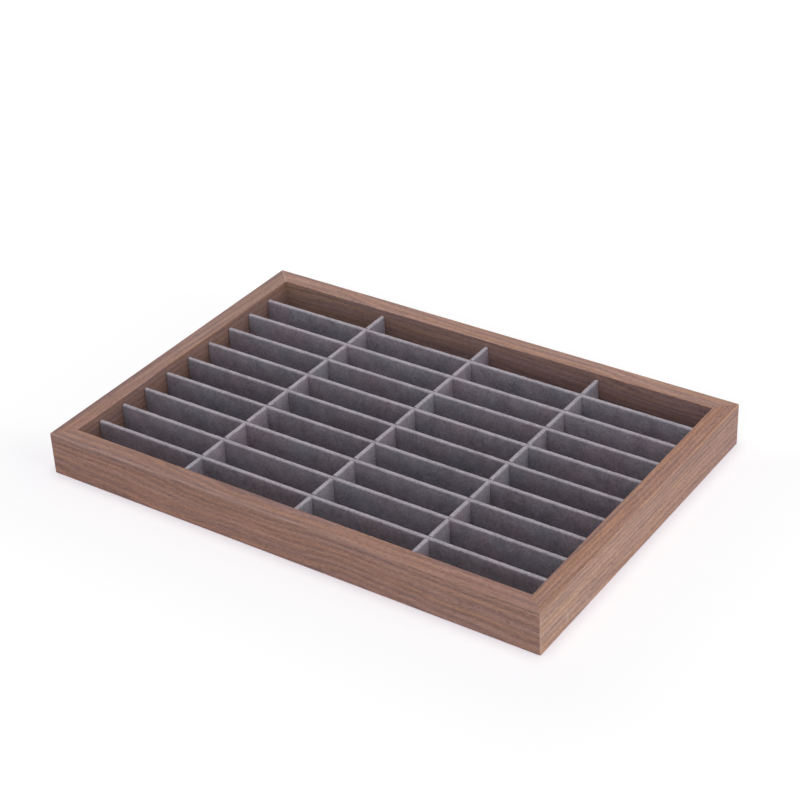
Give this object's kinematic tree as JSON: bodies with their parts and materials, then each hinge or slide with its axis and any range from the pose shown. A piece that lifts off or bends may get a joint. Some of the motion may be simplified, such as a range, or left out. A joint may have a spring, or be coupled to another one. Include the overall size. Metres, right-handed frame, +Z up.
{
  "type": "bracelet display tray",
  "caption": "Shallow walnut-framed display tray for bracelets, with a lift-out half-lapped grid of grey microfibre-covered dividers over a lined floor.",
  "frame": {"origin": "middle of the tray's footprint, at the level of the surface that it stands on", "axes": "+X along the long side, +Y from the front rail to the back rail, +Z up"},
  "size_m": [0.355, 0.245, 0.0295],
  "materials": {
    "walnut": "satin oiled",
    "tongue_wood": "bare",
    "base_board": "walnut-faced board, matt",
    "greyboard": "pressed paper board, matt",
    "microfibre": "brushed suede-like microfibre"
  },
  "bodies": {
    "tray": {"front_rail": "walnut", "back_rail": "walnut", "left_rail": "walnut", "right_rail": "walnut", "front_left_tongue": "tongue_wood", "front_right_tongue": "tongue_wood", "back_left_tongue": "tongue_wood", "back_right_tongue": "tongue_wood", "base_panel": "base_board", "floor_liner_board": "greyboard", "floor_liner_cover": "microfibre"},
    "cross_dividers": {"cross_divider_1_board": "greyboard", "cross_divider_1_cover": "microfibre", "cross_divider_2_board": "greyboard", "cross_divider_2_cover": "microfibre", "cross_divider_3_board": "greyboard", "cross_divider_3_cover": "microfibre"},
    "long_divider_1": {"long_divider_1_board": "greyboard", "long_divider_1_cover": "microfibre"},
    "long_divider_2": {"long_divider_2_board": "greyboard", "long_divider_2_cover": "microfibre"},
    "long_divider_3": {"long_divider_3_board": "greyboard", "long_divider_3_cover": "microfibre"},
    "long_divider_4": {"long_divider_4_board": "greyboard", "long_divider_4_cover": "microfibre"},
    "long_divider_5": {"long_divider_5_board": "greyboard", "long_divider_5_cover": "microfibre"},
    "long_divider_6": {"long_divider_6_board": "greyboard", "long_divider_6_cover": "microfibre"},
    "long_divider_7": {"long_divider_7_board": "greyboard", "long_divider_7_cover": "microfibre"},
    "long_divider_8": {"long_divider_8_board": "greyboard", "long_divider_8_cover": "microfibre"},
    "long_divider_9": {"long_divider_9_board": "greyboard", "long_divider_9_cover": "microfibre"}
  },
  "joints": [
    {"name": "grid_lift", "type": "slide", "parent": "tray", "child": "cross_dividers", "axis": [0, 0, 1], "range_m": [0, 0.03]},
    {"name": "long_divider_1_lift", "type": "slide", "parent": "cross_dividers", "child": "long_divider_1", "axis": [0, 0, 1], "range_m": [0, 0.03]},
    {"name": "long_divider_2_lift", "type": "slide", "parent": "cross_dividers", "child": "long_divider_2", "axis": [0, 0, 1], "range_m": [0, 0.03]},
    {"name": "long_divider_3_lift", "type": "slide", "parent": "cross_dividers", "child": "long_divider_3", "axis": [0, 0, 1], "range_m": [0, 0.03]},
    {"name": "long_divider_4_lift", "type": "slide", "parent": "cross_dividers", "child": "long_divider_4", "axis": [0, 0, 1], "range_m": [0, 0.03]},
    {"name": "long_divider_5_lift", "type": "slide", "parent": "cross_dividers", "child": "long_divider_5", "axis": [0, 0, 1], "range_m": [0, 0.03]},
    {"name": "long_divider_6_lift", "type": "slide", "parent": "cross_dividers", "child": "long_divider_6", "axis": [0, 0, 1], "range_m": [0, 0.03]},
    {"name": "long_divider_7_lift", "type": "slide", "parent": "cross_dividers", "child": "long_divider_7", "axis": [0, 0, 1], "range_m": [0, 0.03]},
    {"name": "long_divider_8_lift", "type": "slide", "parent": "cross_dividers", "child": "long_divider_8", "axis": [0, 0, 1], "range_m": [0, 0.03]},
    {"name": "long_divider_9_lift", "type": "slide", "parent": "cross_dividers", "child": "long_divider_9", "axis": [0, 0, 1], "range_m": [0, 0.03]}
  ]
}
